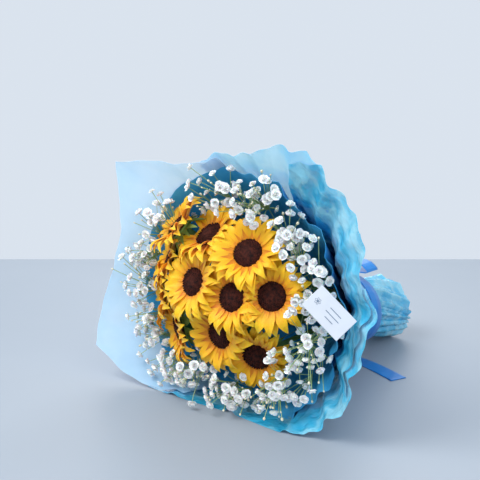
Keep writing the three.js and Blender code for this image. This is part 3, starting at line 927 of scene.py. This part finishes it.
def crumple(piece, kind, scale, strength, group="", **extra):
    texture = bpy.data.textures.new(piece.name + kind, kind)
    texture.noise_scale = scale
    for key, value in extra.items():
        setattr(texture, key, value)
    modifier = piece.modifiers.new("crumple", "DISPLACE")
    modifier.texture = texture
    modifier.strength = strength
    modifier.mid_level = 0.5
    modifier.texture_coords = "LOCAL"
    modifier.vertex_group = group


# 0 at the neck and 1 at the mouth
def wrapShare(points):
    return (neckMiddle.y - points[:, 1]) / (neckMiddle.y - mouthMiddle.y)


# the layers lie close at the neck, so they crumple less there
def markLoose(piece):
    s = wrapSettings
    group = piece.vertex_groups.new(name="loose")
    share = wrapShare(sheetPoints(piece))
    least = s["looseLeast"]
    ahead = np.clip(share * s["looseRise"], least, 1)
    behind = np.clip(-share * s["looseBehind"], least, 1)
    for i, value in enumerate(np.where(share > 0, ahead, behind)):
        group.add([i], float(value), "REPLACE")


sheetSettings = {
    "liner_sheet": {"levels": 2, "soft": 0.003, "crease": 0.0, "held": "gathered", "flat": (0.6, 0.25),
                    "rimFlare": 0.004, "reach": (1.085, 0.012)},
    "left_matte_sheet": {"levels": 3, "soft": 0.005, "crease": 0.0, "held": "folded", "flat": (0.4, 0.26)},
    "right_pearl_film": {"levels": 4, "soft": 0.005, "crease": 0.005, "held": "folded", "flat": (0.3, 0.2)},
    "top_frosted_sheet": {"levels": 4, "soft": 0.005, "crease": 0.002, "held": "folded", "flat": (0.26, 0.2)},
    "lower_pearl_film": {"levels": 4, "soft": 0.005, "crease": 0.005, "held": "laid", "flat": (0.38, 0.24)},
    "neck_matte_sheet": {"levels": 3, "soft": 0.005, "crease": 0.0, "held": "folded", "flat": (0.24, 0.18)},
    "handle_pearl_film": {"levels": 3, "soft": 0.003, "crease": 0.004, "held": "gathered",
                          "flat": (0.3, 0.16)},
}


def sheetPoints(piece):
    points = np.empty(len(piece.data.vertices) * 3)
    piece.data.vertices.foreach_get("co", points)
    return points.reshape(-1, 3)


def setPoints(piece, points):
    points[:, 2] = np.maximum(points[:, 2], cadBox[0].z + wrapSettings["floorGap"])
    piece.data.vertices.foreach_set("co", points.ravel())
    piece.data.update()


# how deep the pleats are, by angle in degrees round the wrap
pleatDepths = [(-180, 0.002), (-140, 0.002), (-110, 0.005), (-60, 0.008), (20, 0.009), (60, 0.007),
               (90, 0.004), (112, 0.002), (180, 0.002)]


def pleatSheet(piece, rimFlare):
    s = wrapSettings
    points = sheetPoints(piece)
    share = wrapShare(points)
    outX = points[:, 0] - (neckMiddle.x + (mouthMiddle.x - neckMiddle.x) * share)
    outZ = points[:, 2] - (neckMiddle.z + (mouthMiddle.z - neckMiddle.z) * share)
    angle = np.arctan2(outZ, outX)
    far = np.hypot(outX, outZ)
    wave = sum(height * np.sin(angle * turns + start) for turns, start, height in s["waves"])
    depth = np.interp(np.degrees(angle), *zip(*pleatDepths))
    behind = np.clip(-share * s["behindRise"], 0, 1) * s["behindDepth"]
    push = (depth * np.clip(share, 0, s["pleatLimit"]) * s["pleatShare"] + behind) * wave
    push += rimFlare * np.clip((share - s["flareFrom"]) / s["flareOver"], 0, 1) ** 2
    points[:, 0] += outX / far * push
    points[:, 2] += outZ / far * push
    setPoints(piece, points)


def crumpleSheet(piece, soft, crease):
    s = wrapSettings
    markLoose(piece)
    crumple(piece, "CLOUDS", s["softScale"], soft, "loose")
    if crease:
        crumple(piece, "VORONOI", s["creaseScale"], crease, "loose",
                distance_metric="DISTANCE", weight_1=-1.0, weight_2=1.0)
        crumple(piece, "VORONOI", s["fineScale"], crease * s["fineShare"], "loose",
                distance_metric="DISTANCE", weight_1=1.0)
    applyModifiers(piece)
    setPoints(piece, sheetPoints(piece))


def buildSheet(nodeName, name, material, slotName):
    s = sheetSettings[nodeName]
    piece = cadCopy(nodeName, name)
    keepInnerFace(piece)
    if "reach" in s:
        reachOut(piece, *s["reach"])
    sharpCorners(piece)
    modifier = piece.modifiers.new("refine", "SUBSURF")
    modifier.levels = modifier.render_levels = s["levels"]
    applyModifiers(piece)
    pleatSheet(piece, s.get("rimFlare", 0))
    crumpleSheet(piece, s["soft"], s["crease"])
    area = sum(p.area for p in piece.data.polygons)
    modifier = piece.modifiers.new("thickness", "SOLIDIFY")
    modifier.thickness = wrapSettings["thickness"]
    modifier.offset = 0
    applyModifiers(piece)
    smoothShade(piece, 50)
    finishPiece(piece, material, slotName, nodeName)
    print(nodeName, "area", round(area, 4), "of", round(s["flat"][0] * s["flat"][1], 4))


buildSheet("liner_sheet", "linerRoll", linerMaterial, "matte_sheets")
buildSheet("left_matte_sheet", "leftMatteWrap", matteMaterial, "matte_sheets")
buildSheet("right_pearl_film", "rightPearlWrap", pearlMaterial, "pearl_film")
buildSheet("top_frosted_sheet", "topFrostedWrap", frostedMaterial, "frosted_sheet")
buildSheet("lower_pearl_film", "lowerPearlWrap", pearlMaterial, "pearl_film")
buildSheet("neck_matte_sheet", "neckMatteWrap", neckMaterial, "matte_sheets")
buildSheet("handle_pearl_film", "handlePearlWrap", pearlMaterial, "pearl_film")
print("wraps ready")


# ribbon, tie and card

ribbonSettings = {"levels": 3, "crumpleScale": 0.02, "crumple": 0.0012}


def buildRibbon(nodeName, name):
    s = ribbonSettings
    piece = cadCopy(nodeName, name)
    modifier = piece.modifiers.new("refine", "SUBSURF")
    modifier.levels = modifier.render_levels = s["levels"]
    modifier.subdivision_type = "SIMPLE"
    applyModifiers(piece)
    crumple(piece, "CLOUDS", s["crumpleScale"], s["crumple"])
    applyModifiers(piece)
    smoothShade(piece, 50)
    finishPiece(piece, ribbonMaterial, "ribbon", nodeName)


buildRibbon("ribbon_band", "ribbonRound")
buildRibbon("ribbon_knot", "ribbonKnot")
buildRibbon("ribbon_loop_upper", "bowLoopUpper")
buildRibbon("ribbon_loop_far", "bowLoopFar")
buildRibbon("ribbon_tail_near", "ribbonTailNear")
buildRibbon("ribbon_tail_far", "ribbonTailFar")


motifSettings = {
    "line": 0.00035,
    "lift": 0.0003,
    "lines": [(0.2, 0.3), (-0.02, 0.36), (-0.24, 0.22)],
    "lineShift": 0.18,
    "lineSpread": 1.6,
    "petals": 6,
    "petalRadius": 0.0034,
    "petalShape": (1, 0.6, 0.4, 1),
    "petalShift": 0.6,
    "flowerShift": -0.33,
}


def addMotif():
    s = motifSettings
    verts = nodeVerts("message_card")
    middle = verts.mean(0)
    axes = np.linalg.svd(verts - middle, full_matrices=False)[2]
    along, down, facing = (Vector(a) for a in axes)
    if facing.y > 0:
        facing = -facing
    if along.x < 0:
        along = -along
    down = facing.cross(along)
    half = [np.abs((verts - middle) @ np.array(a)).max() for a in (along, down, facing)]
    place = Matrix((along, down, facing)).transposed().to_4x4()
    place.translation = Vector(middle) + facing * (half[2] + s["lift"] * 0.5)
    made = []
    for height, length in s["lines"]:
        deselectAll()
        bpy.ops.mesh.primitive_cube_add(size=1)
        bar = bpy.context.object
        shift = (s["lineShift"] * half[0], height * half[1] * s["lineSpread"], 0)
        bar.data.transform(Matrix.Translation(shift)
                           @ Matrix.Diagonal((length * half[0] * 2, s["line"] * 2, s["lift"], 1)))
        made.append(bar)
    for i in range(s["petals"]):
        deselectAll()
        bpy.ops.mesh.primitive_torus_add(major_radius=s["petalRadius"] * 0.5, minor_radius=s["line"] * 0.6,
                                         major_segments=14, minor_segments=4)
        loop = bpy.context.object
        turn = Matrix.Rotation(2 * math.pi * i / s["petals"], 4, "Z")
        loop.data.transform(Matrix.Translation((s["flowerShift"] * half[0] * 2, 0, 0)) @ turn
                            @ Matrix.Translation((s["petalRadius"] * s["petalShift"], 0, 0))
                            @ Matrix.Diagonal(s["petalShape"]))
        made.append(loop)
    motif = joinPieces(made, "cardMotif")
    motif.data.transform(place)
    finishPiece(motif, inkMaterial, "card")


cardEdge = 0.0003


def buildSmall():
    tie = cadCopy("stem_tie", "rubberTie")
    smoothShade(tie, 40)
    finishPiece(tie, tieMaterial, "tie", "stem_tie")
    card = cadCopy("message_card", "giftCard")
    modifier = card.modifiers.new("edge", "BEVEL")
    modifier.width = cardEdge
    applyModifiers(card)
    finishPiece(card, cardMaterial, "card", "message_card")
    addMotif()


buildSmall()
print("ribbon, tie and card ready")


# floor, lights and camera

viewSettings = {
    "azimuth": 42.0,
    "down": 12.5,
    "distance": 1.292,
    "lens": 80.0,
    "sensor": 36,
    "nearest": 0.05,
    "faceRight": 0.0112,
    "aimRight": 0.0242,
    "aimUp": 0.0727,
    "faceUp": 0.15,
}


def viewAxes():
    a = math.radians(viewSettings["azimuth"])
    e = math.radians(viewSettings["down"])
    ahead = Vector((-math.sin(a) * math.cos(e), math.cos(a) * math.cos(e), -math.sin(e)))
    right = Vector((math.cos(a), math.sin(a), 0))
    return ahead, right, right.cross(ahead)


def facePoint():
    return Vector((viewSettings["faceRight"], headPlace("flower_05")[0].y, viewSettings["faceUp"]))


def addCamera():
    s = viewSettings
    ahead, right, up = viewAxes()
    aim = facePoint() + right * s["aimRight"] + up * s["aimUp"]
    deselectAll()
    bpy.ops.object.camera_add(location=aim - ahead * s["distance"])
    camera = bpy.context.object
    camera.rotation_euler = ahead.to_track_quat("-Z", "Y").to_euler()
    camera.data.lens = s["lens"]
    camera.data.sensor_width = s["sensor"]
    camera.data.clip_start = s["nearest"]
    bpy.context.scene.camera = camera
    return camera


floorSettings = {"backEdge": 2.08, "depth": 3.6, "width": 6}


def addFloor(camera):
    s = floorSettings
    ahead = viewAxes()[0]
    flat = Vector((ahead.x, ahead.y, 0)).normalized()
    start = Vector((camera.location.x, camera.location.y, cadBox[0].z))
    deselectAll()
    bpy.ops.mesh.primitive_plane_add(size=1)
    floor = bpy.context.object
    floor.name = "tableTop"
    middle = start + flat * (s["backEdge"] - s["depth"] / 2)
    turn = Matrix.Rotation(math.radians(viewSettings["azimuth"]), 4, "Z")
    floor.data.transform(Matrix.Translation(middle) @ turn @ Matrix.Diagonal((s["width"], s["depth"], 1, 1)))
    material = plainFinish("paleTable", {"Roughness": 0.45, "Specular IOR Level": 0.3},
                           dark=(0.3, 0.34, 0.39), light=(0.315, 0.355, 0.405),
                           scale=3, bumpScale=200, bumpDepth=0.0)
    floor.data.materials.append(material)


# each light stands right of, ahead of and above the bunch's middle, as the camera sees it
lightSettings = {
    "keyLight": {"right": -1.3, "ahead": -0.7, "above": 1.5,
                 "size": 1.2, "power": 40, "colour": (1, 0.985, 0.96)},
    "fillLight": {"right": 0.9, "ahead": -1.7, "above": 0.7,
                  "size": 1.6, "power": 16, "colour": (0.96, 0.98, 1)},
    "backLight": {"right": 0, "ahead": 1.4, "above": 1.3,
                  "size": 1.4, "power": 12, "colour": (0.96, 0.98, 1)},
}
skySettings = {"colour": (0.74, 0.81, 0.9, 1), "strength": 0.95}


def addLights():
    ahead, right, up = viewAxes()
    middle = (cadBox[0] + cadBox[1]) / 2
    for name, s in lightSettings.items():
        place = middle + right * s["right"] + ahead * s["ahead"] + Vector((0, 0, s["above"]))
        deselectAll()
        bpy.ops.object.light_add(type="AREA", location=place)
        light = bpy.context.object
        light.name = name
        light.data.size = s["size"]
        light.data.energy = s["power"]
        light.data.color = s["colour"]
        light.rotation_euler = (middle - place).to_track_quat("-Z", "Y").to_euler()
    world = bpy.data.worlds.new("paleRoom")
    bpy.context.scene.world = world
    world.use_nodes = True
    sky = world.node_tree.nodes["Background"]
    sky.inputs["Color"].default_value = skySettings["colour"]
    sky.inputs["Strength"].default_value = skySettings["strength"]


camera = addCamera()
addFloor(camera)
addLights()
print("stage ready")
